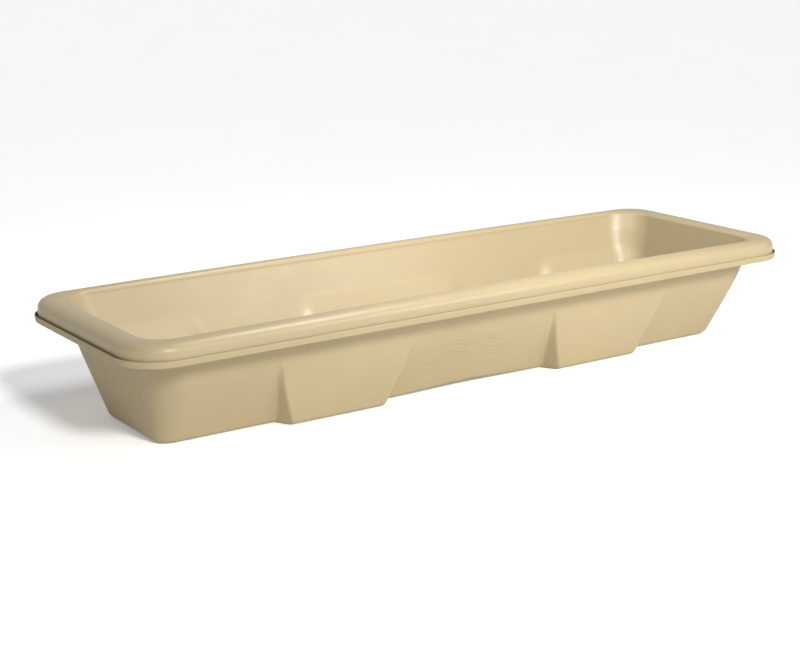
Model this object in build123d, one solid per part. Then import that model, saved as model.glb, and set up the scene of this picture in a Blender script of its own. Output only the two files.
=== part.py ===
from build123d import *
import math
import os

# Livestock water trough: a glossy liner nested in a matt case, with foam between the two skins.
# Millimetres. The origin is under the middle of the trough, on the ground. X runs along its length.

# Overall size and the two skins
LENGTH = 2000.0
WIDTH = 660.0
HEIGHT = 292.0
SKIN = 5.0
WALL_FOAM = 6.0
FLOOR_FOAM = 20.0

# Flange and upturned lip of the case, and the sealant bead that the liner's skirt stands on
FLANGE_UNDERSIDE = 236.0
LIP_HEIGHT = 16.0
LIP_THICKNESS = 4.0
LIP_CORNER_RADIUS = 114.0
GUTTER_GAP = 3.0
BEAD_HEIGHT = 4.0
BEAD_WIDTH = 9.0

# Hooded rim of the liner: steep outside, a narrow crest, and a tight round into the mouth
CREST_INSET = 45.0
CREST_HALF_FLAT = 2.0
CREST_CORNER_RADIUS = 54.0
HOOD_DROP = 28.0
HOOD_SQUARENESS = 2.3
MOUTH_ROUND = 14.0
RIM_STEPS = 6

# Outer faces of the walls: half sizes at the ground and how far they lean out for each mm of height
END_BASE = 868.0
END_LEAN = 0.271
FOOT_BASE = 198.0
FOOT_LEAN = 0.327
TAPER_BASE = 153.0
CREASE_HEIGHT = 180.0
CORNER_RADIUS_BOTTOM = 42.0
CORNER_RADIUS_TOP = 105.0
SMALLEST_CORNER_RADIUS = 14.0
BOTTOM_EDGE_RADIUS = 14.0
BOTTOM_EDGE_STEPS = 4

# Four foot panels, two on each long side
FOOT_CENTRE = 407.0
FOOT_HALF_WIDTH_BOTTOM = 130.0
FOOT_HALF_WIDTH_TOP = 196.0
FOOT_ROOT = 115.0
FOOT_FLARE = 0.51
FOOT_EDGE_RADIUS = 9.0

# Shallow arch under the belly, between the feet of each side
ARCH_RISE = 10.0
ARCH_HALF_SPAN = 225.0

FLANGE_TOP = FLANGE_UNDERSIDE + SKIN
SKIRT_INSET = LIP_THICKNESS + GUTTER_GAP
SKIRT_BOTTOM = FLANGE_TOP + BEAD_HEIGHT
SKIRT_CORNER_RADIUS = LIP_CORNER_RADIUS - SKIRT_INSET
BEAD_INNER_INSET = SKIRT_INSET + BEAD_WIDTH
MOUTH_ROUND_START = HEIGHT - MOUTH_ROUND
LINER_BACK = SKIN + WALL_FOAM
LINER_FACE = LINER_BACK + SKIN
LINER_BACK_FLOOR = SKIN + FLOOR_FOAM
LINER_FACE_FLOOR = LINER_BACK_FLOOR + SKIN


def side_half_width(z):
    """Half width of the case at height z, away from the feet: the wall steepens at the crease."""
    crease_half_width = FOOT_BASE + FOOT_LEAN * CREASE_HEIGHT
    if z > CREASE_HEIGHT:
        return FOOT_BASE + FOOT_LEAN * z
    return TAPER_BASE + (crease_half_width - TAPER_BASE) * z / CREASE_HEIGHT


def wall_level(z, offset, pull=0.0):
    """Half length, half width and corner radius of the wall at height z, moved inwards by offset."""
    half_length = END_BASE + END_LEAN * z - offset * math.hypot(1, END_LEAN) - pull
    half_width = side_half_width(z) - offset * math.hypot(1, FOOT_LEAN) - pull
    blend = min(z / FLANGE_UNDERSIDE, 1.0)
    radius = CORNER_RADIUS_BOTTOM + (CORNER_RADIUS_TOP - CORNER_RADIUS_BOTTOM) * blend - offset - pull
    return half_length, half_width, max(radius, SMALLEST_CORNER_RADIUS)


def rim_level(inset, radius):
    """Half sizes of a ring of the rim, measured inwards from the lip's outer edge."""
    return LENGTH / 2 - inset, WIDTH / 2 - inset, radius


def ring(z, half_length, half_width, radius):
    """A rounded rectangle at height z."""
    return Plane.XY.offset(z) * RectangleRounded(2 * half_length, 2 * half_width, radius)


def stack(levels):
    """Solid through rounded rectangles, given as (z, (half length, half width, radius))."""
    return loft([ring(z, *sizes) for z, sizes in levels], ruled=True)


def slab(bottom, top, sizes):
    """Rounded rectangle of one size, from bottom to top."""
    return extrude(ring(bottom, *sizes), top - bottom)


def foot(offset, floor, centre, side):
    """One foot panel, moved inwards by offset. side is -1 or 1 along Y."""
    def section(z):
        outer = FOOT_BASE + FOOT_LEAN * z - offset * math.hypot(1, FOOT_LEAN)
        reach = FOOT_BASE + FOOT_LEAN * z - FOOT_ROOT
        spread = (FOOT_HALF_WIDTH_TOP - FOOT_HALF_WIDTH_BOTTOM) * z / CREASE_HEIGHT
        half_root = FOOT_HALF_WIDTH_BOTTOM + spread + FOOT_FLARE * reach - offset * math.hypot(1, FOOT_FLARE)
        half_outer = half_root - FOOT_FLARE * (outer - FOOT_ROOT)
        outline = Polyline(
            (centre - half_root, side * FOOT_ROOT),
            (centre - half_outer, side * outer),
            (centre + half_outer, side * outer),
            (centre + half_root, side * FOOT_ROOT),
            close=True,
        )
        return Plane.XY.offset(z) * make_face(outline)

    solid = loft([section(floor), section(CREASE_HEIGHT)], ruled=True)
    face = solid.faces().sort_by(Axis.Y)[0 if side < 0 else -1]
    top_edge = face.edges().sort_by(Axis.Z)[-1]
    rounded = [edge for edge in face.edges() if edge != top_edge]
    return fillet(rounded, FOOT_EDGE_RADIUS)


def feet(offset, floor):
    """All four foot panels."""
    return [foot(offset, floor, centre, side) for centre in (-FOOT_CENTRE, FOOT_CENTRE) for side in (-1, 1)]


def wall_levels(offset, floor, top):
    """Levels of a tub with a rounded bottom edge and the crease, up to height top."""
    levels = []
    for step in range(BOTTOM_EDGE_STEPS + 1):
        angle = math.pi / 2 * step / BOTTOM_EDGE_STEPS
        height = floor + BOTTOM_EDGE_RADIUS * (1 - math.cos(angle))
        levels.append((height, wall_level(height, offset, BOTTOM_EDGE_RADIUS * (1 - math.sin(angle)))))
    levels.append((CREASE_HEIGHT, wall_level(CREASE_HEIGHT, offset)))
    levels.append((top, wall_level(top, offset)))
    return levels


def mouth_levels(offset, floor, top):
    """Levels of one face of the liner: the bowl's walls, then the round out to the crest at height top."""
    levels = wall_levels(offset, floor, MOUTH_ROUND_START)
    wall = wall_level(MOUTH_ROUND_START, offset)
    crest = rim_level(CREST_INSET + CREST_HALF_FLAT, CREST_CORNER_RADIUS)
    for step in range(1, RIM_STEPS + 1):
        angle = math.pi / 2 * step / RIM_STEPS
        share = 1 - math.cos(angle)
        height = MOUTH_ROUND_START + (top - MOUTH_ROUND_START) * math.sin(angle)
        levels.append((height, tuple(a + (b - a) * share for a, b in zip(wall, crest))))
    return levels


def hood_levels(shrink):
    """Levels of the hood from its skirt up to the crest, moved inwards by shrink."""
    levels = [(SKIRT_BOTTOM, rim_level(SKIRT_INSET + shrink, SKIRT_CORNER_RADIUS - shrink))]
    crest_inset = CREST_INSET - CREST_HALF_FLAT
    reach = crest_inset - SKIRT_INSET - shrink
    for step in range(RIM_STEPS + 1):
        angle = math.pi / 2 * step / RIM_STEPS
        out = max(math.cos(angle), 0.0) ** (2 / HOOD_SQUARENESS)
        up = math.sin(angle) ** (2 / HOOD_SQUARENESS)
        radius = CREST_CORNER_RADIUS + (SKIRT_CORNER_RADIUS - shrink - CREST_CORNER_RADIUS) * out
        height = HEIGHT - HOOD_DROP + (HOOD_DROP - shrink) * up
        levels.append((height, rim_level(crest_inset - reach * out, radius)))
    return levels


def belly_arch(raised):
    """Long shallow cylinder across the trough that lifts the floor between the feet."""
    radius = (ARCH_HALF_SPAN ** 2 + ARCH_RISE ** 2) / (2 * ARCH_RISE)
    centre = Plane((0, 0, ARCH_RISE + raised - radius), x_dir=(1, 0, 0), z_dir=(0, -1, 0))
    return extrude(centre * Circle(radius), WIDTH, both=True)


def case_cavity():
    """Hollow of the case, which the foam fills."""
    return stack(wall_levels(SKIN, SKIN, FLANGE_TOP)) + feet(SKIN, SKIN) - belly_arch(SKIN)


def hood_hollow():
    """Space under the hood, down to the flange."""
    bead_opening = rim_level(BEAD_INNER_INSET, LIP_CORNER_RADIUS - BEAD_INNER_INSET)
    return stack(hood_levels(SKIN)) + slab(FLANGE_TOP, SKIRT_BOTTOM, bead_opening)


def liner_back():
    """Outside of the liner's bowl, which the foam bears on."""
    bowl = stack(mouth_levels(LINER_BACK, LINER_BACK_FLOOR, HEIGHT - SKIN))
    return bowl + feet(LINER_BACK, LINER_BACK_FLOOR)


def make_outer_shell():
    body = stack(wall_levels(0, 0, FLANGE_UNDERSIDE)) + feet(0, 0) - belly_arch(0)
    body += slab(FLANGE_UNDERSIDE, FLANGE_UNDERSIDE + LIP_HEIGHT, rim_level(0, LIP_CORNER_RADIUS))
    gutter = rim_level(LIP_THICKNESS, LIP_CORNER_RADIUS - LIP_THICKNESS)
    body -= slab(FLANGE_TOP, HEIGHT, gutter)
    return body - case_cavity()


def make_inner_shell():
    back = liner_back()
    shell = stack(hood_levels(0)) + back - (hood_hollow() - back)
    shell -= stack(mouth_levels(LINER_FACE, LINER_FACE_FLOOR, HEIGHT))
    return shell - feet(LINER_FACE, LINER_FACE_FLOOR)


def make_foam_core():
    return case_cavity() + hood_hollow() - liner_back()


def make_rim_bead():
    outside = rim_level(SKIRT_INSET, SKIRT_CORNER_RADIUS)
    inside = rim_level(BEAD_INNER_INSET, LIP_CORNER_RADIUS - BEAD_INNER_INSET)
    return slab(FLANGE_TOP, SKIRT_BOTTOM, outside) - slab(FLANGE_TOP, SKIRT_BOTTOM, inside)


os.makedirs("parts", exist_ok=True)
nodes = {
    "outer_shell": make_outer_shell(),
    "inner_shell": make_inner_shell(),
    "foam_core": make_foam_core(),
    "rim_bead": make_rim_bead(),
}
for name, solid in nodes.items():
    export_step(solid, f"parts/{name}.step")
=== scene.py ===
"""Livestock water trough: a glossy liner nested in a matt case, on a pale studio floor."""

import math

import bmesh
import bpy
from mathutils import Matrix, Vector, noise


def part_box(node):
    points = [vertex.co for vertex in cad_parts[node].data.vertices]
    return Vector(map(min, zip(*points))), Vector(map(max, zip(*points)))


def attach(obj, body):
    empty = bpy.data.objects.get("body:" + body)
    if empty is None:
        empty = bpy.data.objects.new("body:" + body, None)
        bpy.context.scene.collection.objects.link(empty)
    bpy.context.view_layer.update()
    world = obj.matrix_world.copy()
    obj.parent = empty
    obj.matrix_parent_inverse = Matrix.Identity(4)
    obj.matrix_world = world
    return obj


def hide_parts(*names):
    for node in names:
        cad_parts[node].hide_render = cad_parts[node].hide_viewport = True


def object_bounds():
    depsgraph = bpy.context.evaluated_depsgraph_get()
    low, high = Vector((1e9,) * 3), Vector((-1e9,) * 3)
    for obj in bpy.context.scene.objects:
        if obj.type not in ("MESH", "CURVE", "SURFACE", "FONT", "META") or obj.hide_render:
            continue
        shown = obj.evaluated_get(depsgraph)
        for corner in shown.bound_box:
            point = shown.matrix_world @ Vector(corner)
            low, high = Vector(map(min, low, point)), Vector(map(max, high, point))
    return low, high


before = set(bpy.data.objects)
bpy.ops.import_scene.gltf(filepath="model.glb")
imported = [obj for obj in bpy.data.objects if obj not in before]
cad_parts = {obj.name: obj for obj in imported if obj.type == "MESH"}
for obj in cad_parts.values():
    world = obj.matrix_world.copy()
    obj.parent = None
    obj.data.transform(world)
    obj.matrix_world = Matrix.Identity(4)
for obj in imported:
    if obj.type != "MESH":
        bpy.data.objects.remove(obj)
cad_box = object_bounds()

MM = 0.001

# ------------------------------------------------------------ sizes, in millimetres
case_low, case_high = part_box("outer_shell")
bead_low, bead_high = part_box("rim_bead")
LENGTH = (case_high.x - case_low.x) / MM
WIDTH = (case_high.y - case_low.y) / MM
HEIGHT = cad_box[1][2] / MM
LIP_TOP = case_high.z / MM
FLANGE_TOP = bead_low.z / MM
SKIRT_BOTTOM = bead_high.z / MM

SKIN = 5.0
FLANGE_UNDERSIDE = FLANGE_TOP - SKIN
WALL_FOAM = 6.0
FLOOR_FOAM = 20.0
LINER_BACK = SKIN + WALL_FOAM
LINER_FACE = LINER_BACK + SKIN
LINER_BACK_FLOOR = SKIN + FLOOR_FOAM
LINER_FACE_FLOOR = LINER_BACK_FLOOR + SKIN

# walls: half sizes at the ground, and how far they lean out for each mm of height
END_BASE = 868.0
END_LEAN = 0.271
FOOT_BASE = 198.0
FOOT_LEAN = 0.327
TAPER_BASE = 153.0
CREASE_HEIGHT = 180.0
CORNER_RADIUS_BOTTOM = 42.0
CORNER_RADIUS_TOP = 105.0
SMALLEST_CORNER_RADIUS = 14.0
BOTTOM_EDGE_RADIUS = 14.0

# foot panels
FOOT_CENTRE = 407.0
FOOT_HALF_WIDTH_BOTTOM = 130.0
FOOT_HALF_WIDTH_TOP = 196.0
FOOT_FLARE = 0.51
FOOT_MARGIN = 16.0

# arch under the belly
ARCH_RISE = 10.0
ARCH_HALF_SPAN = 225.0
ARCH_FADE = 70.0

# rim
LIP_CORNER_RADIUS = 114.0
LIP_THICKNESS = 4.0
LIP_ROUND = 2.5
LIP_DRAFT = 1.4
SKIRT_INSET_SIDE = 5.6
SKIRT_INSET_END = 8.6
SKIRT_CORNER_RADIUS = LIP_CORNER_RADIUS - SKIRT_INSET_SIDE
CREST_INSET = 45.0
CREST_HALF_FLAT = 2.0
CREST_CORNER_RADIUS = 54.0
CREST_DIP = 3.6
HOOD_DROP = 28.0
HOOD_SQUARENESS = 2.3
MOUTH_ROUND = 14.0
MOUTH_ROUND_START = HEIGHT - MOUTH_ROUND

# three raised wave lines between the feet, tapered at their ends
WAVE_ROWS = 3
WAVE_CENTRE = -13.0
WAVE_LENGTH = 300.0
WAVE_BOTTOM = 92.0
WAVE_SPACING = 22.0
WAVE_HEIGHT = 6.0
WAVE_COUNT = 3
WAVE_WIDTH = 6.0
WAVE_PROUD = 1.4
WAVE_END_TAPER = 8
WAVE_END_SIZE = 0.1

# rounding: of the gutter, under the flange, of the foot panels' flanks and of the crease
GUTTER_FILLET = 1.5
FLANGE_FILLET = 7.0
CASE_ROUND = 5.0
LINER_ROUND = 18.0
CASE_CREASE_ROUND = 9.0
LINER_CREASE_ROUND = 3.0

# points round a ring: along half a long side in five stretches, in a corner and along an end
COLUMN_COUNTS = (20, 26, 26, 26, 18)
CORNER_STEPS = 22
END_STEPS = 26

# rings of the faces that show, and of the hidden backs
FACE_ROW_STEP = 4.5
BACK_ROW_STEP = 24.0
FACE_EDGE_STEPS = 7
BACK_EDGE_STEPS = 4
BACK_FLOOR_RINGS = 6
CASE_FLOOR_RINGS = 12
LINER_FLOOR_RINGS = 14
FILLET_STEPS = 5
FLANGE_RINGS = 5
LIP_UNDER_STEPS = 4
LIP_TOP_STEPS = 8
LIP_INSIDE_DROP = 6.0
SKIRT_ROW = 5.0
HOOD_STEPS = 16
HOOD_BACK_STEPS = 7
MOUTH_STEPS = 10
MOUTH_BACK_STEPS = 5
WAVE_POINTS = 96
WAVE_SECTION = 10

# half length of the line in the middle of a floor, from which its rings spread
SPINE_HALF = END_BASE - TAPER_BASE

# points closer than this are one, and edges sharper than this many degrees stay sharp
WELD_DISTANCE = 0.02
SHARP_ANGLE = 40

# unevenness of the mouldings: how far it moves a point, how long its waves are, and its seed's step.
# Points below FLAT_BELOW stay where they are, so that the underside is flat.
UNEVENNESS = ((0.4, 160.0, 0.0), (0.05, 45.0, 5.0))
FLAT_BELOW = 2.0
SEEDS = {"case_moulding": 3.0, "liner_moulding": 11.0}


# ------------------------------------------------------------ the trough's form
def smooth_min(a, b, round_by):
    """The lower of two values, blended where they are within round_by of each other."""
    overlap = max(round_by - abs(a - b), 0.0)
    return min(a, b) - overlap * overlap / (4 * round_by)


def smooth_max(a, b, round_by):
    """The higher of two values, blended in the same way."""
    return -smooth_min(-a, -b, round_by)


def foot_plane(z, offset):
    """Half width of the foot panels and of the upper wall, at height z."""
    return FOOT_BASE + FOOT_LEAN * z - offset * math.hypot(1, FOOT_LEAN)


def plain_wall(z, offset):
    """Half width away from the feet: the wall steepens at the crease."""
    crease = FOOT_BASE + FOOT_LEAN * CREASE_HEIGHT
    lean = (crease - TAPER_BASE) / CREASE_HEIGHT
    taper = TAPER_BASE + lean * z - offset * math.hypot(1, lean)
    crease_round = CASE_CREASE_ROUND if offset <= SKIN else LINER_CREASE_ROUND
    return smooth_min(taper, foot_plane(z, offset), crease_round)


def foot_edges(z, offset):
    """Half widths of a foot panel at height z: where its flank meets the wall, and its face."""
    widening = (FOOT_HALF_WIDTH_TOP - FOOT_HALF_WIDTH_BOTTOM) * z / CREASE_HEIGHT
    tip = FOOT_HALF_WIDTH_BOTTOM + widening - offset * math.hypot(1, FOOT_FLARE)
    tip += FOOT_FLARE * (foot_plane(z, 0) - foot_plane(z, offset))
    return tip + FOOT_FLARE * (foot_plane(z, offset) - plain_wall(z, offset)), tip


def half_width(x, z, offset, edge_round):
    """Half width of the body at x, with the foot panels standing out of the tapered wall."""
    low = plain_wall(z, offset)
    high = foot_plane(z, offset)
    root, tip = foot_edges(z, offset)
    reach = max((root - tip) / 2, edge_round)
    share = (root - abs(abs(x) - FOOT_CENTRE)) / (2 * reach)
    softness = min(edge_round / reach / 3, 0.5)
    share = smooth_min(smooth_max(share, 0.0, softness), 1.0, softness)
    return low + (high - low) * share


def wall_sizes(z, offset, pull):
    """Half length and corner radius of the wall at height z."""
    half_length = END_BASE + END_LEAN * z - offset * math.hypot(1, END_LEAN) - pull
    blend = min(z / FLANGE_UNDERSIDE, 1.0)
    radius = CORNER_RADIUS_BOTTOM + (CORNER_RADIUS_TOP - CORNER_RADIUS_BOTTOM) * blend - offset - pull
    return half_length, max(radius, SMALLEST_CORNER_RADIUS)


def belly_lift(x):
    """Height of the arch under the belly, at x."""
    if abs(x) > ARCH_HALF_SPAN:
        return 0.0
    return ARCH_RISE * math.cos(math.pi / 2 * x / ARCH_HALF_SPAN) ** 2


# ------------------------------------------------------------ rings of points
def spread(start, stop, count):
    """Evenly spaced numbers from start, without stop itself."""
    return [start + (stop - start) * i / count for i in range(count)]


def half_columns(z, offset, end):
    """Places along half a long side, closer together at the foot panels' flanks."""
    root, tip = foot_edges(min(z, CREASE_HEIGHT), offset)
    stops = [
        0.0,
        FOOT_CENTRE - root - FOOT_MARGIN,
        FOOT_CENTRE - tip + FOOT_MARGIN,
        FOOT_CENTRE + tip - FOOT_MARGIN,
        FOOT_CENTRE + root + FOOT_MARGIN,
        end,
    ]
    places = []
    for start, stop, count in zip(stops, stops[1:], COLUMN_COUNTS):
        places += spread(start, stop, count)
    return places + [end]


def ring(half_length, half_width_at, radius, columns, height_at):
    """A closed ring, seen from above: near side, right end, far side, left end."""
    corner_y = half_width_at(columns[-1]) - radius
    corner_x = half_length - radius
    right = [(x, half_width_at(x)) for x in columns]
    near = [(-x, -y) for x, y in reversed(right)] + [(x, -y) for x, y in right[1:]]
    arc = []
    for step in range(1, CORNER_STEPS):
        angle = math.pi / 2 * step / CORNER_STEPS
        arc.append((corner_x + radius * math.sin(angle), -corner_y - radius * math.cos(angle)))
    end = [(half_length, y) for y in spread(-corner_y, corner_y, END_STEPS)] + [(half_length, corner_y)]
    back_arc = [(x, -y) for x, y in reversed(arc)]
    half = near + arc + end + back_arc
    points = half + [(-x, -y) for x, y in half]
    return [Vector((x, y, height_at(x))) for x, y in points]


def wall_ring(z, offset, pull=0.0, edge_round=CASE_ROUND, arched=False):
    """Ring of a wall face at height z, moved inwards by offset and pulled in by pull."""
    half_length, radius = wall_sizes(z, offset, pull)
    fade = max(0.0, 1.0 - z / ARCH_FADE) ** 2 if arched else 0.0

    def height_at(x):
        return z + belly_lift(x) * fade

    def width_at(x):
        return half_width(x, height_at(x), offset, edge_round) - pull

    return ring(half_length, width_at, radius, half_columns(z, offset, half_length - radius), height_at)


def crest_dip(x):
    """How far the crest dips at x: nothing in the middle, most at the ends."""
    return CREST_DIP * (2 * x / LENGTH) ** 2


def rim_ring(inset_side, inset_end, z, radius, dip=0.0):
    """Ring of the rim, measured inwards from the lip's outer edge. dip is its share of the crest's dip."""
    half_length = LENGTH / 2 - inset_end
    side = WIDTH / 2 - inset_side
    columns = half_columns(CREASE_HEIGHT, 0, half_length - radius)
    return ring(half_length, lambda x: side, radius, columns, lambda x: z - dip * crest_dip(x))


def between(first, second, share):
    """The ring that lies a share of the way from the first ring to the second."""
    return [a.lerp(b, share) for a, b in zip(first, second)]


def floor_rings(edge, count):
    """Rings from the spine of a floor out to its edge."""
    spine = [Vector((max(-SPINE_HALF, min(SPINE_HALF, p.x)), 0.0, p.z)) for p in edge]
    return [between(spine, edge, i / count) for i in range(count)]


def bottom_rounding(floor, offset, edge_round, arched, steps):
    """Rings of the rounded bottom edge, from the flat floor up to the wall."""
    rings = []
    for step in range(steps + 1):
        angle = math.pi / 2 * step / steps
        height = floor + BOTTOM_EDGE_RADIUS * (1 - math.cos(angle))
        pull = BOTTOM_EDGE_RADIUS * (1 - math.sin(angle))
        rings.append(wall_ring(height, offset, pull, edge_round, arched))
    return rings


def wall_rows(start, stop, step):
    """Heights from start to stop, about step apart, without start itself."""
    count = max(1, round(abs(stop - start) / step))
    return [start + (stop - start) * i / count for i in range(1, count + 1)]


# ------------------------------------------------------------ meshes
def to_mesh(name, rings):
    """Skin through rings that all have the same number of points, open at its first and last ring."""
    count = len(rings[0])
    points = [p * MM for line in rings for p in line]
    faces = []
    for row in range(len(rings) - 1):
        for i in range(count):
            j = (i + 1) % count
            faces.append((row * count + i, row * count + j, (row + 1) * count + j, (row + 1) * count + i))
    mesh = bpy.data.meshes.new(name)
    mesh.from_pydata(points, [], faces)
    piece = bpy.data.objects.new(name, mesh)
    bpy.context.scene.collection.objects.link(piece)
    return piece


def weld(piece, distance):
    """Joins points that meet, and drops faces that have no area."""
    work = bmesh.new()
    work.from_mesh(piece.data)
    bmesh.ops.remove_doubles(work, verts=work.verts, dist=distance)
    bmesh.ops.dissolve_degenerate(work, dist=distance, edges=work.edges)
    bmesh.ops.recalc_face_normals(work, faces=work.faces)
    work.to_mesh(piece.data)
    work.free()


def soften(piece):
    """Smooth shading, apart from the sharp edges."""
    for polygon in piece.data.polygons:
        polygon.use_smooth = True
    piece.data.set_sharp_from_angle(angle=math.radians(SHARP_ANGLE))


def waver(piece, amount, size, seed):
    """Moves points along their normals by a slow noise, as a moulding that isn't quite even."""
    mesh = piece.data
    normals = [v.normal.copy() for v in mesh.vertices]
    for vertex, normal in zip(mesh.vertices, normals):
        if vertex.co.z > FLAT_BELOW * MM:
            vertex.co += normal * amount * MM * noise.noise(vertex.co / (size * MM) + Vector((seed, 0, 0)))


def make_case():
    """Outer shell: belly, tapered walls with four foot panels, flange and upturned lip."""
    outside = bottom_rounding(0.0, 0, CASE_ROUND, True, FACE_EDGE_STEPS)
    rings = floor_rings(outside[0], CASE_FLOOR_RINGS) + outside
    for z in wall_rows(BOTTOM_EDGE_RADIUS, FLANGE_UNDERSIDE - FLANGE_FILLET, FACE_ROW_STEP):
        rings.append(wall_ring(z, 0, arched=True))
    for step in range(1, FILLET_STEPS + 1):
        angle = math.pi / 2 * step / FILLET_STEPS
        height = FLANGE_UNDERSIDE - FLANGE_FILLET * (1 - math.sin(angle))
        rings.append(wall_ring(height, 0, -FLANGE_FILLET * (1 - math.cos(angle))))
    lip = lip_rings()
    rings += [between(rings[-1], lip[0], step / FLANGE_RINGS) for step in range(1, FLANGE_RINGS)]
    rings += lip
    rings.append(wall_ring(FLANGE_TOP, SKIN))
    for z in wall_rows(FLANGE_TOP, SKIN + BOTTOM_EDGE_RADIUS, BACK_ROW_STEP):
        rings.append(wall_ring(z, SKIN, arched=True))
    inside = bottom_rounding(SKIN, SKIN, CASE_ROUND, True, BACK_EDGE_STEPS)
    rings += reversed(inside[:-1])
    rings += reversed(floor_rings(inside[0], BACK_FLOOR_RINGS))
    return to_mesh("case_moulding", rings)


def lip_rings():
    """The flange's turned-up lip: rounded underneath, with a rounded top edge and a gutter inside."""
    rings = []
    for step in range(LIP_UNDER_STEPS + 1):
        angle = math.pi / 2 * step / LIP_UNDER_STEPS
        inset = LIP_ROUND * (1 - math.sin(angle)) + LIP_DRAFT
        rings.append(lip_ring(inset, FLANGE_UNDERSIDE + LIP_ROUND * (1 - math.cos(angle))))
    top_round = LIP_THICKNESS / 2
    for step in range(LIP_TOP_STEPS + 1):
        angle = math.pi * step / LIP_TOP_STEPS
        inset = top_round * (1 - math.cos(angle))
        rings.append(lip_ring(inset, LIP_TOP - top_round + top_round * math.sin(angle)))
    for height in (LIP_TOP - LIP_INSIDE_DROP, FLANGE_TOP + GUTTER_FILLET):
        rings.append(lip_ring(LIP_THICKNESS, height))
    rings.append(lip_ring(LIP_THICKNESS + GUTTER_FILLET, FLANGE_TOP))
    return rings


def lip_ring(inset, height):
    """Ring of the lip, the same distance in on all sides."""
    return rim_ring(inset, inset, height, LIP_CORNER_RADIUS - inset)


def hood_ring(share, shrink):
    """Ring of the hood: share runs from 0 at the top of the skirt to 1 at the crest."""
    angle = math.pi / 2 * share
    out = max(math.cos(angle), 0.0) ** (2 / HOOD_SQUARENESS)
    up = math.sin(angle) ** (2 / HOOD_SQUARENESS)
    crest = CREST_INSET - CREST_HALF_FLAT
    side = crest - (crest - SKIRT_INSET_SIDE - shrink) * out
    end = crest - (crest - SKIRT_INSET_END - shrink) * out
    radius = CREST_CORNER_RADIUS + (SKIRT_CORNER_RADIUS - shrink - CREST_CORNER_RADIUS) * out
    return rim_ring(side, end, HEIGHT - HOOD_DROP + (HOOD_DROP - shrink) * up, radius, up)


def mouth_rings(offset, top, steps):
    """Rings of the round from the liner's wall out to the crest at height top."""
    wall = wall_ring(MOUTH_ROUND_START, offset)
    inset = CREST_INSET + CREST_HALF_FLAT
    crest = rim_ring(inset, inset, top, CREST_CORNER_RADIUS)
    rings = []
    for step in range(steps + 1):
        angle = math.pi / 2 * step / steps
        line = between(wall, crest, 1 - math.cos(angle))
        rise = math.sin(angle)
        height = MOUTH_ROUND_START + (top - MOUTH_ROUND_START) * rise
        rings.append([Vector((p.x, p.y, height - rise * crest_dip(p.x))) for p in line])
    return rings


def wave_line(row, side):
    """One raised wave line on the tapered wall between the feet: a closed strip, half sunk in the wall."""
    count = WAVE_POINTS
    centre = []
    for i in range(count + 1):
        share = i / count
        x = WAVE_CENTRE + side * WAVE_LENGTH * (share - 0.5)
        z = WAVE_BOTTOM + WAVE_SPACING * row + WAVE_HEIGHT * math.sin(2 * math.pi * WAVE_COUNT * share)
        centre.append((x, z))
    rings = []
    for i, (x, z) in enumerate(centre):
        ahead = centre[min(i + 1, count)]
        behind = centre[max(i - 1, 0)]
        along = Vector((ahead[0] - behind[0], ahead[1] - behind[1])).normalized()
        grown = min(1.0, WAVE_END_TAPER * i / count, WAVE_END_TAPER * (count - i) / count)
        taper = WAVE_END_SIZE + (1 - WAVE_END_SIZE) * grown
        section = []
        for step in range(WAVE_SECTION):
            angle = 2 * math.pi * step / WAVE_SECTION
            across = WAVE_WIDTH / 2 * taper * math.cos(angle)
            proud = WAVE_PROUD * taper * math.sin(angle)
            px = x - along.y * across
            pz = z + along.x * across
            section.append(Vector((px, side * (half_width(px, pz, 0, CASE_ROUND) + proud), pz)))
        rings.append(section)
    return rings


def add_waves(case):
    """Three plain wave lines on each long side, joined to the case."""
    lines = []
    for side in (-1, 1):
        for row in range(WAVE_ROWS):
            line = to_mesh(f"wave_{row}", wave_line(row, side))
            cap_ends(line, WAVE_SECTION)
            lines.append(line)
    with bpy.context.temp_override(active_object=case, selected_editable_objects=[case, *lines]):
        bpy.ops.object.join()


def cap_ends(piece, count):
    """Closes a tube's two ends."""
    work = bmesh.new()
    work.from_mesh(piece.data)
    work.verts.ensure_lookup_table()
    work.faces.new(list(reversed(work.verts[:count])))
    work.faces.new(work.verts[-count:])
    bmesh.ops.recalc_face_normals(work, faces=work.faces)
    work.to_mesh(piece.data)
    work.free()


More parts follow.
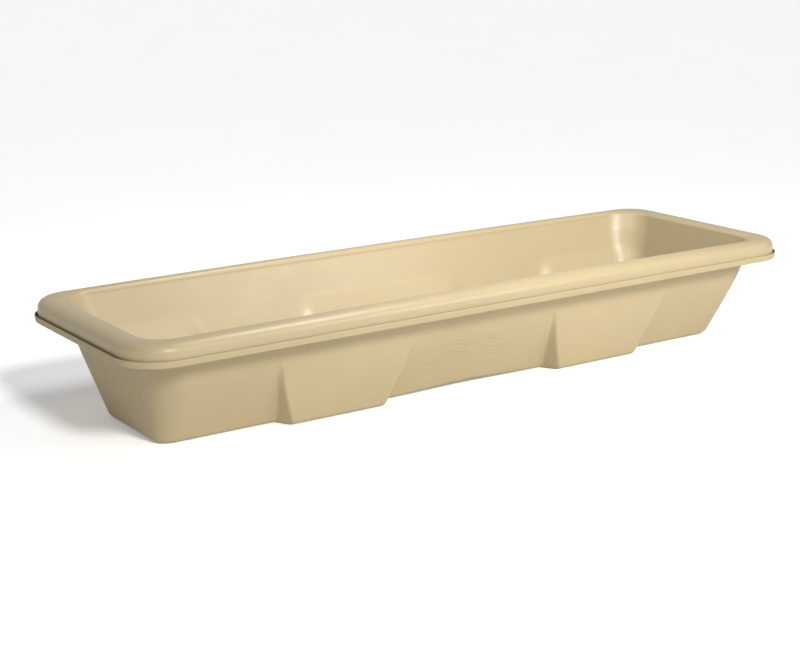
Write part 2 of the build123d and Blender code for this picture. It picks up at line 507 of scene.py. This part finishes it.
def make_liner():
    """Inner shell: floor, walls with pockets behind the feet, round crest, hood and skirt."""
    face = bottom_rounding(LINER_FACE_FLOOR, LINER_FACE, LINER_ROUND, False, FACE_EDGE_STEPS)
    rings = floor_rings(face[0], LINER_FLOOR_RINGS) + face
    for z in wall_rows(LINER_FACE_FLOOR + BOTTOM_EDGE_RADIUS, MOUTH_ROUND_START, FACE_ROW_STEP):
        rings.append(wall_ring(z, LINER_FACE, 0, LINER_ROUND))
    rings += mouth_rings(LINER_FACE, HEIGHT, MOUTH_STEPS)[1:]
    rings += [hood_ring(1 - step / HOOD_STEPS, 0) for step in range(HOOD_STEPS + 1)]
    for height in (SKIRT_BOTTOM + SKIRT_ROW, SKIRT_BOTTOM):
        rings.append(rim_ring(SKIRT_INSET_SIDE, SKIRT_INSET_END, height, SKIRT_CORNER_RADIUS))
    inner_radius = SKIRT_CORNER_RADIUS - SKIN
    rings.append(rim_ring(SKIRT_INSET_SIDE + SKIN, SKIRT_INSET_END + SKIN, SKIRT_BOTTOM, inner_radius))
    rings += [hood_ring(step / HOOD_BACK_STEPS, SKIN) for step in range(HOOD_BACK_STEPS + 1)]
    rings += reversed(mouth_rings(LINER_BACK, HEIGHT - SKIN, MOUTH_BACK_STEPS))
    for z in wall_rows(MOUTH_ROUND_START, LINER_BACK_FLOOR + BOTTOM_EDGE_RADIUS, BACK_ROW_STEP):
        rings.append(wall_ring(z, LINER_BACK, 0, LINER_ROUND))
    back = bottom_rounding(LINER_BACK_FLOOR, LINER_BACK, LINER_ROUND, False, BACK_EDGE_STEPS)
    rings += reversed(back[:-1])
    rings += reversed(floor_rings(back[0], BACK_FLOOR_RINGS))
    return to_mesh("liner_moulding", rings)


# ------------------------------------------------------------ materials
class Shader:
    """A material's node tree, with one short call for each kind of node."""

    def __init__(self, name):
        self.material = bpy.data.materials.new(name)
        self.material.use_nodes = True
        self.tree = self.material.node_tree
        self.bsdf = self.tree.nodes["Principled BSDF"]
        self.place = self.tree.nodes.new("ShaderNodeTexCoord").outputs["Object"]

    def link(self, source, target):
        """Joins an output to an input."""
        self.tree.links.new(source, target)

    def noise(self, scale, detail=3.0, roughness=0.5):
        """Noise in the object's own coordinates."""
        node = self.tree.nodes.new("ShaderNodeTexNoise")
        node.inputs["Scale"].default_value = scale
        node.inputs["Detail"].default_value = detail
        node.inputs["Roughness"].default_value = roughness
        self.link(self.place, node.inputs["Vector"])
        return node.outputs["Fac"]

    def remap(self, source, low, high, to_low, to_high):
        """Stretches values between low and high to the range from to_low to to_high."""
        node = self.tree.nodes.new("ShaderNodeMapRange")
        node.inputs["From Min"].default_value = low
        node.inputs["From Max"].default_value = high
        node.inputs["To Min"].default_value = to_low
        node.inputs["To Max"].default_value = to_high
        self.link(source, node.inputs["Value"])
        return node.outputs["Result"]

    def mix(self, factor, first, second):
        """Blends two colours."""
        node = self.tree.nodes.new("ShaderNodeMix")
        node.data_type = "RGBA"
        self.link(factor, node.inputs["Factor"])
        node.inputs["A"].default_value = (*first, 1)
        node.inputs["B"].default_value = (*second, 1)
        return node.outputs["Result"]

    def bump(self, height, strength, distance, below=None):
        """Relief from a height, on top of another relief if there is one."""
        node = self.tree.nodes.new("ShaderNodeBump")
        node.inputs["Strength"].default_value = strength
        node.inputs["Distance"].default_value = distance
        self.link(height, node.inputs["Height"])
        if below is not None:
            self.link(below, node.inputs["Normal"])
        return node.outputs["Normal"]


def liner_plastic():
    """Glossy tan plastic with faint clouds, smears and waves."""
    s = Shader("liner_gloss")
    clouds = s.remap(s.noise(3.0, 4.0), 0.35, 0.65, 0.0, 1.0)
    colour = s.mix(clouds, (0.343, 0.275, 0.159), (0.359, 0.289, 0.169))
    s.link(colour, s.bsdf.inputs["Base Color"])
    smears = s.remap(s.noise(14.0, 5.0, 0.6), 0.3, 0.7, 0.32, 0.40)
    s.link(smears, s.bsdf.inputs["Roughness"])
    s.bsdf.inputs["Specular IOR Level"].default_value = 0.35
    waves = s.bump(s.noise(30.0, 2.0), 0.12, 0.003)
    peel = s.bump(s.noise(170.0, 3.0), 0.12, 0.001, waves)
    s.link(peel, s.bsdf.inputs["Normal"])
    return s.material


def case_plastic():
    """Matt tan plastic with a fine grain."""
    s = Shader("case_matt")
    clouds = s.remap(s.noise(4.0, 5.0), 0.35, 0.65, 0.0, 1.0)
    colour = s.mix(clouds, (0.333, 0.268, 0.154), (0.349, 0.281, 0.163))
    s.link(colour, s.bsdf.inputs["Base Color"])
    s.link(s.remap(s.noise(60.0, 4.0), 0.3, 0.7, 0.52, 0.66), s.bsdf.inputs["Roughness"])
    s.bsdf.inputs["Specular IOR Level"].default_value = 0.25
    waves = s.bump(s.noise(30.0, 2.0), 0.2, 0.003)
    grain = s.bump(s.noise(420.0, 3.0, 0.6), 0.25, 0.0006, waves)
    s.link(grain, s.bsdf.inputs["Normal"])
    return s.material


def foam_skin():
    """Cut yellowish foam."""
    s = Shader("foam")
    cells = s.remap(s.noise(240.0, 4.0), 0.3, 0.7, 0.0, 1.0)
    s.link(s.mix(cells, (0.60, 0.47, 0.22), (0.72, 0.58, 0.30)), s.bsdf.inputs["Base Color"])
    s.link(s.remap(cells, 0, 1, 0.8, 0.95), s.bsdf.inputs["Roughness"])
    s.link(s.bump(cells, 0.6, 0.001), s.bsdf.inputs["Normal"])
    return s.material


def sealant():
    """Dark lumpy sealant."""
    s = Shader("sealant")
    lumps = s.remap(s.noise(70.0, 3.0), 0.3, 0.7, 0.0, 1.0)
    s.link(s.mix(lumps, (0.10, 0.075, 0.04), (0.17, 0.13, 0.075)), s.bsdf.inputs["Base Color"])
    s.link(s.remap(lumps, 0, 1, 0.55, 0.8), s.bsdf.inputs["Roughness"])
    s.link(s.bump(lumps, 0.5, 0.002), s.bsdf.inputs["Normal"])
    return s.material


def paint(piece, material):
    """Gives a piece one material all over."""
    piece.data.materials.clear()
    piece.data.materials.append(material)


# ------------------------------------------------------------ camera, lights and floor
# angles in degrees, distances in metres, lens in millimetres
CAMERA_AZIMUTH = -33.49
CAMERA_ELEVATION = 14.86
CAMERA_ROLL = -0.75
CAMERA_DISTANCE = 4.426
CAMERA_LEFT = 0.0820
CAMERA_UP = 0.0984
CAMERA_LENS = 74.77

# the sun's direction, strength and width, and how bright each of the studio's walls is
SUN_FROM = (0.0, -0.82, 0.57)
SUN_STRENGTH = 2.77
SUN_WIDTH = 12.0
STUDIO_WALLS = (
    ((-1, 0, 0), 0.16),
    ((0, -1, 0), 0.59),
    ((0, 1, 0), 0.72),
)
FLOOR_GLOW = 0.17
FLOOR_HALF_SIZE = 30.0

# softboxes: place, aim, size in metres and power in watts
SOFTBOXES = {
    "key": ((1.0, -1.9, 1.15), (0.0, 0.0, 0.15), (0.7, 0.5), 16.5),
    "top": ((0.05, -0.25, 1.45), (0.45, 0.0, 0.15), (0.7, 0.5), 19.0),
    "glint": ((-2.05, -2.46, 1.46), (0.87, 0.26, 0.2), (0.3, 0.3), 5.0),
}


def add_camera():
    """The camera, in front of the trough's left end and a little above it."""
    turn = math.radians(CAMERA_AZIMUTH)
    tilt = math.radians(CAMERA_ELEVATION)
    back = Vector((math.sin(turn) * math.cos(tilt), -math.cos(turn) * math.cos(tilt), math.sin(tilt)))
    level_right = (-back).cross(Vector((0, 0, 1))).normalized()
    level_up = level_right.cross(-back)
    roll = math.radians(CAMERA_ROLL)
    right = level_right * math.cos(roll) + level_up * math.sin(roll)
    up = level_up * math.cos(roll) - level_right * math.sin(roll)
    camera = bpy.data.objects.new("camera", bpy.data.cameras.new("camera"))
    camera.data.lens = CAMERA_LENS
    camera.data.clip_end = 100
    where = back * CAMERA_DISTANCE - right * CAMERA_LEFT + up * CAMERA_UP
    axes = Matrix((right, up, back)).transposed().to_4x4()
    camera.matrix_world = Matrix.Translation(where) @ axes
    bpy.context.scene.collection.objects.link(camera)
    bpy.context.scene.camera = camera


def add_softbox(name, where, aim, size, power):
    """A rectangular lamp that lights the scene but isn't seen itself."""
    data = bpy.data.lights.new(name, "AREA")
    data.shape = "RECTANGLE"
    data.size, data.size_y = size
    data.energy = power
    light = bpy.data.objects.new(name, data)
    light.location = where
    light.rotation_euler = (Vector(aim) - Vector(where)).to_track_quat("-Z", "Y").to_euler()
    light.visible_camera = False
    bpy.context.scene.collection.objects.link(light)


def add_sun():
    """Wide soft light from the front."""
    data = bpy.data.lights.new("front", "SUN")
    data.energy = SUN_STRENGTH
    data.angle = math.radians(SUN_WIDTH)
    sun = bpy.data.objects.new("front", data)
    sun.rotation_euler = Vector(SUN_FROM).to_track_quat("Z", "Y").to_euler()
    bpy.context.scene.collection.objects.link(sun)


def add_world():
    """Light from the studio's walls, each fading to nothing a quarter turn away."""
    world = bpy.data.worlds.new("studio")
    world.use_nodes = True
    tree = world.node_tree
    direction = tree.nodes.new("ShaderNodeTexCoord").outputs["Generated"]
    total = None
    for wall, brightness in STUDIO_WALLS:
        facing = tree.nodes.new("ShaderNodeVectorMath")
        facing.operation = "DOT_PRODUCT"
        facing.inputs[1].default_value = wall
        tree.links.new(direction, facing.inputs[0])
        lit = tree.nodes.new("ShaderNodeMath")
        lit.operation = "MAXIMUM"
        lit.inputs[1].default_value = 0.0
        tree.links.new(facing.outputs["Value"], lit.inputs[0])
        add = tree.nodes.new("ShaderNodeMath")
        add.operation = "MULTIPLY_ADD"
        add.inputs[1].default_value = brightness
        add.inputs[2].default_value = 0.0
        tree.links.new(lit.outputs["Value"], add.inputs[0])
        if total is not None:
            tree.links.new(total, add.inputs[2])
        total = add.outputs["Value"]
    tree.links.new(total, tree.nodes["Background"].inputs["Strength"])
    tree.nodes["Background"].inputs["Color"].default_value = (1, 1, 1, 1)
    bpy.context.scene.world = world


def add_floor():
    """A large plain floor with a faint glow, as in an evenly lit studio."""
    size = FLOOR_HALF_SIZE
    corners = [(-size, -size, 0), (size, -size, 0), (size, size, 0), (-size, size, 0)]
    mesh = bpy.data.meshes.new("studio_floor")
    mesh.from_pydata(corners, [], [(0, 1, 2, 3)])
    floor = bpy.data.objects.new("studio_floor", mesh)
    bpy.context.scene.collection.objects.link(floor)
    s = Shader("floor_paint")
    patches = s.remap(s.noise(2.0, 3.0), 0.3, 0.7, 0.0, 1.0)
    s.link(s.mix(patches, (0.93, 0.93, 0.93), (0.95, 0.95, 0.95)), s.bsdf.inputs["Base Color"])
    s.bsdf.inputs["Roughness"].default_value = 0.9
    s.bsdf.inputs["Emission Color"].default_value = (1, 1, 1, 1)
    s.bsdf.inputs["Emission Strength"].default_value = FLOOR_GLOW
    paint(floor, s.material)


# ------------------------------------------------------------ the scene
case = make_case()
liner = make_liner()
for piece in (case, liner):
    weld(piece, WELD_DISTANCE * MM)
    for amount, size, seed_step in UNEVENNESS:
        waver(piece, amount, size, SEEDS[piece.name] + seed_step)
add_waves(case)
soften(case)
soften(liner)
paint(case, case_plastic())
paint(liner, liner_plastic())
paint(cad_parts["foam_core"], foam_skin())
paint(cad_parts["rim_bead"], sealant())
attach(case, "root")
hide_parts("outer_shell")
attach(liner, "root")
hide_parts("inner_shell")

add_camera()
for name, setting in SOFTBOXES.items():
    add_softbox(name, *setting)
add_sun()
add_world()
add_floor()
bpy.context.scene.view_settings.view_transform = "Standard"
